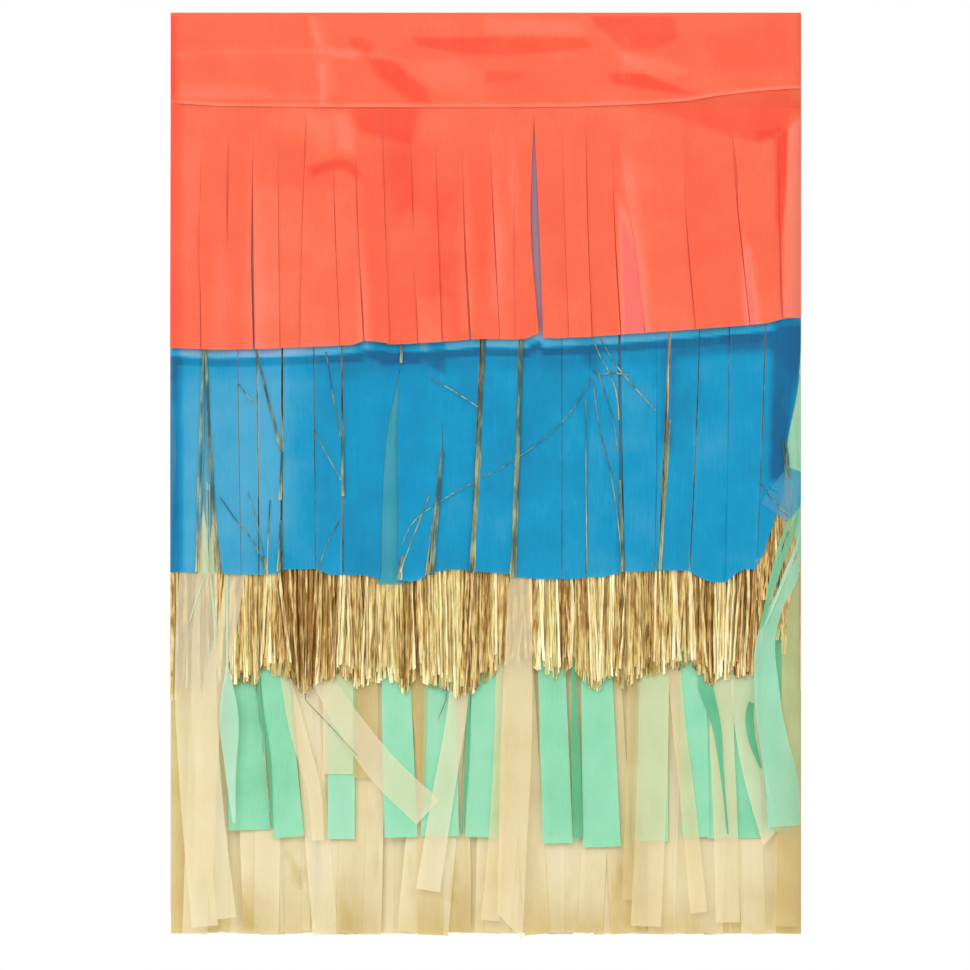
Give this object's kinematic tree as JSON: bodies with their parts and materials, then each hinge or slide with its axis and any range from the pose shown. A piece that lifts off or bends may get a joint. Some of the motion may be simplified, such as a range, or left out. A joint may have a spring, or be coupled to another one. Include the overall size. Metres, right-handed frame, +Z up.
{
  "type": "fringe garland",
  "caption": "Layered tissue and foil fringe garland under a folded header band, stored folded in flat panels that open out in line.",
  "frame": {"origin": "middle of the outer back face of the rear panel's header band, halfway across and halfway up the band", "axes": "+X to the right as seen from the front, -Y out of the front, +Z up along the hanging fringe towards the header band"},
  "size_m": [0.31, 0.0256, 0.457],
  "materials": {
    "coral_tissue": "matte",
    "blue_tissue": "matte",
    "gold_foil": "gloss",
    "mint_tissue": "matte",
    "ivory_tissue": "matte",
    "cotton_tape": "matte"
  },
  "bodies": {
    "rear_panel": {"header_band_5": "coral_tissue", "hanging_tape_5": "cotton_tape", "coral_fringe_5": "coral_tissue", "blue_fringe_5": "blue_tissue", "gold_fringe_5": "gold_foil", "mint_fringe_5": "mint_tissue", "ivory_fringe_5": "ivory_tissue"},
    "panel_4": {"header_band_4": "coral_tissue", "hanging_tape_4": "cotton_tape", "coral_fringe_4": "coral_tissue", "blue_fringe_4": "blue_tissue", "gold_fringe_4": "gold_foil", "mint_fringe_4": "mint_tissue", "ivory_fringe_4": "ivory_tissue"},
    "panel_3": {"header_band_3": "coral_tissue", "hanging_tape_3": "cotton_tape", "coral_fringe_3": "coral_tissue", "blue_fringe_3": "blue_tissue", "gold_fringe_3": "gold_foil", "mint_fringe_3": "mint_tissue", "ivory_fringe_3": "ivory_tissue"},
    "panel_2": {"header_band_2": "coral_tissue", "hanging_tape_2": "cotton_tape", "coral_fringe_2": "coral_tissue", "blue_fringe_2": "blue_tissue", "gold_fringe_2": "gold_foil", "mint_fringe_2": "mint_tissue", "ivory_fringe_2": "ivory_tissue"},
    "front_header": {"header_band_1": "coral_tissue", "hanging_tape_1": "cotton_tape", "coral_heading_1": "coral_tissue", "blue_heading_1": "blue_tissue", "gold_heading_1": "gold_foil", "mint_heading_1": "mint_tissue", "ivory_heading_1": "ivory_tissue"},
    "front_ivory_fringe": {"ivory_fringe_1": "ivory_tissue"},
    "front_mint_fringe": {"mint_fringe_1": "mint_tissue"},
    "front_gold_fringe": {"gold_fringe_1": "gold_foil"},
    "front_blue_fringe": {"blue_fringe_1": "blue_tissue"},
    "front_coral_fringe": {"coral_fringe_1": "coral_tissue"}
  },
  "joints": [
    {"name": "fold_4_5", "type": "hinge", "parent": "rear_panel", "child": "panel_4", "pos_m": [-0.15625, -0.005, 0], "axis": [0, 0, -1], "range_deg": [0, 180]},
    {"name": "fold_3_4", "type": "hinge", "parent": "panel_4", "child": "panel_3", "pos_m": [0.15625, -0.0102, 0], "axis": [0, 0, 1], "range_deg": [0, 180]},
    {"name": "fold_2_3", "type": "hinge", "parent": "panel_3", "child": "panel_2", "pos_m": [-0.15625, -0.0154, 0], "axis": [0, 0, -1], "range_deg": [0, 180]},
    {"name": "fold_1_2", "type": "hinge", "parent": "panel_2", "child": "front_header", "pos_m": [0.15625, -0.0206, 0], "axis": [0, 0, 1], "range_deg": [0, 180]},
    {"name": "ivory_lift", "type": "hinge", "parent": "front_header", "child": "front_ivory_fringe", "pos_m": [0, -0.0248, -0.0238], "axis": [-1, 0, 0], "range_deg": [0, 16]},
    {"name": "mint_lift", "type": "hinge", "parent": "front_ivory_fringe", "child": "front_mint_fringe", "pos_m": [0, -0.0248, -0.0238], "axis": [-1, 0, 0], "range_deg": [0, 16]},
    {"name": "gold_lift", "type": "hinge", "parent": "front_mint_fringe", "child": "front_gold_fringe", "pos_m": [0, -0.0248, -0.0238], "axis": [-1, 0, 0], "range_deg": [0, 16]},
    {"name": "blue_lift", "type": "hinge", "parent": "front_gold_fringe", "child": "front_blue_fringe", "pos_m": [0, -0.0248, -0.0238], "axis": [-1, 0, 0], "range_deg": [0, 16]},
    {"name": "coral_lift", "type": "hinge", "parent": "front_blue_fringe", "child": "front_coral_fringe", "pos_m": [0, -0.0248, -0.0238], "axis": [-1, 0, 0], "range_deg": [0, 16]}
  ]
}
